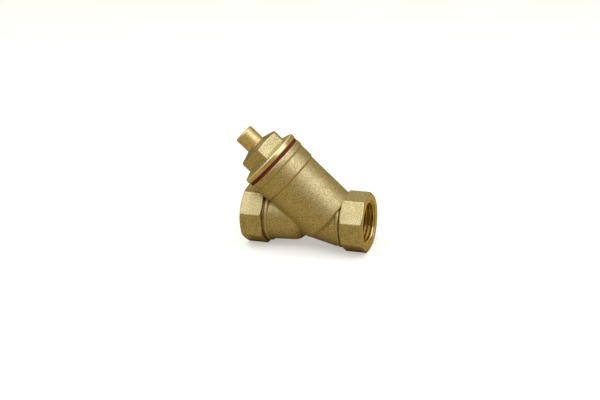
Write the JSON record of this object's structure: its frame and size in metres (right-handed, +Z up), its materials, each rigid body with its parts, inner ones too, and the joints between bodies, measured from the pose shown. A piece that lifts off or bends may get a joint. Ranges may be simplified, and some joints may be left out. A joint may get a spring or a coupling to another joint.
{
  "type": "y strainer",
  "caption": "Y-pattern pipe strainer with octagonal female threaded ends and a slanted branch whose screw cap takes out a magnet rod and a perforated screen.",
  "frame": {"origin": "centre of the inlet port's face, on the pipe axis", "axes": "+X out of the inlet along the pipe axis, +Z up, the screen branch leans up at 45 degrees over the outlet towards -X"},
  "size_m": [0.0632, 0.031, 0.0586],
  "materials": {
    "forged_brass": "hot-forged and shot-blasted, with turned ports",
    "cap_brass": "blasted hexagon, turned flange and boss",
    "gasket_fibre": "red vulcanised fibre",
    "screen_steel": "perforated and rolled stainless sheet",
    "wire_mesh": "plain-woven stainless wire",
    "stud_steel": "drawn stainless rod",
    "nut_steel": "cold-formed stainless",
    "magnet_ferrite": "pressed and ground ferrite",
    "pole_steel": "stamped steel, edges rounded"
  },
  "bodies": {
    "strainer_body": {"body": "forged_brass"},
    "gasket": {"cap_gasket": "gasket_fibre"},
    "cap_assembly": {"cap": "cap_brass", "magnet_stud": "stud_steel", "stud_lock_nut": "nut_steel", "spring_washer": "nut_steel", "pole_washer_1": "pole_steel", "pole_washer_2": "pole_steel", "pole_washer_3": "pole_steel", "pole_washer_4": "pole_steel", "pole_washer_5": "pole_steel", "ring_magnet_1": "magnet_ferrite", "ring_magnet_2": "magnet_ferrite", "ring_magnet_3": "magnet_ferrite", "ring_magnet_4": "magnet_ferrite", "stud_end_nut": "nut_steel"},
    "screen": {"screen_sheet": "screen_steel", "screen_mesh": "wire_mesh", "screen_bottom_ring": "screen_steel", "screen_top_ring": "screen_steel"}
  },
  "joints": [
    {"name": "cap_advance", "type": "slide", "parent": "strainer_body", "child": "gasket", "axis": [-0.7071, 0, 0.7071], "range_m": [0, 0.06]},
    {"name": "cap_turn", "type": "hinge", "parent": "gasket", "child": "cap_assembly", "pos_m": [-0.0181, 0, 0], "axis": [-0.7071, 0, 0.7071], "range_deg": [0, 14400]},
    {"name": "screen_pull", "type": "slide", "parent": "strainer_body", "child": "screen", "axis": [-0.7071, 0, 0.7071], "range_m": [0, 0.033]}
  ],
  "couplings": [
    {"joint": "cap_advance", "follows": "cap_turn", "m_per_rad": 0.00023873},
    {"joint": "screen_pull", "follows": "cap_turn", "m_per_rad": 0.0001313}
  ]
}
